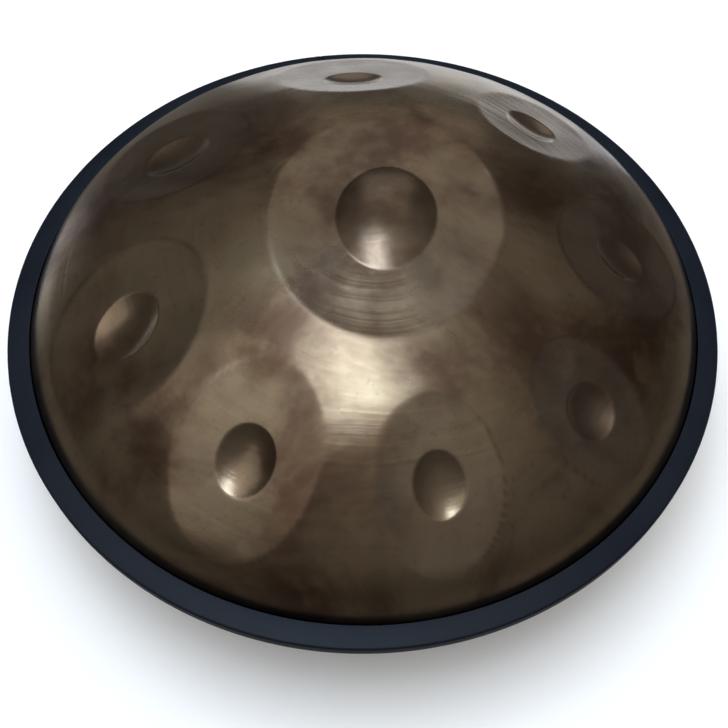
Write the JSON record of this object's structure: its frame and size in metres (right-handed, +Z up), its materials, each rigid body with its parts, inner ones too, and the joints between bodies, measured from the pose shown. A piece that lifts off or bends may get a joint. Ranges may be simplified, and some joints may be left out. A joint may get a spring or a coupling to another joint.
{
  "type": "handpan",
  "caption": "Lens-shaped steel handpan: hammered upper shell with a central domed note and a ring of dimpled notes, plain lower shell with a round sound port, rubber guard round the rim.",
  "frame": {"origin": "on the floor under the centre of the sound port, level with the flat land round it", "axes": "+Z up through the central note, -Y towards the player, +X to the player's right"},
  "size_m": [0.5599, 0.56, 0.2234],
  "materials": {
    "heat_coloured_steel": "satin, nitrided, dark bronze",
    "adhesive": "matt cured bead",
    "rubber": "smooth matt, blue-black"
  },
  "bodies": {
    "root": {"top_shell": "heat_coloured_steel", "bottom_shell": "heat_coloured_steel", "flange_adhesive": "adhesive", "rim_guard": "rubber"}
  },
  "joints": []
}
